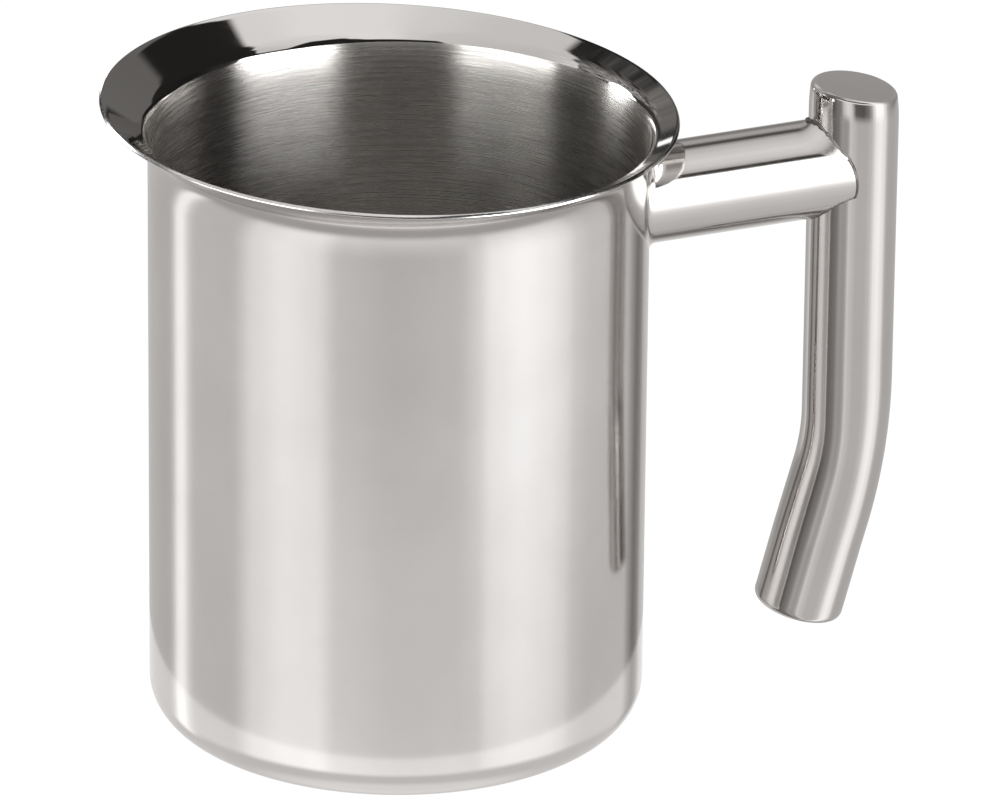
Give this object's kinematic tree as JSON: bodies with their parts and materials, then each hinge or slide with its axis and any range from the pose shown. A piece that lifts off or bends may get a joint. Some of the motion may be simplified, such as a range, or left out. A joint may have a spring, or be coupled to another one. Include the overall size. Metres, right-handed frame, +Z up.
{
  "type": "candle melting pot",
  "caption": "Cylindrical steel pouring pot with a flared, slightly tilted rim and a welded side handle of a rising arm and a bent upright grip.",
  "frame": {"origin": "middle of the pot's base, on the pot's axis, where it rests", "axes": "+Z up along the pot's axis, +X towards the handle, so the rim's high side points to -X"},
  "size_m": [0.1239, 0.09, 0.1059],
  "materials": {
    "pot_steel": "satin polished outside, mirror polished flare, brushed inside",
    "handle_steel": "polished",
    "cap_steel": "fine satin",
    "weld_steel": "polished weld"
  },
  "bodies": {
    "root": {"pot_shell": "pot_steel", "handle_arm": "handle_steel", "grip_tube": "handle_steel", "grip_top_cap": "cap_steel", "grip_foot_cap": "cap_steel", "arm_pot_weld": "weld_steel", "arm_grip_weld": "weld_steel", "top_cap_weld": "weld_steel", "foot_cap_weld": "weld_steel"}
  },
  "joints": []
}
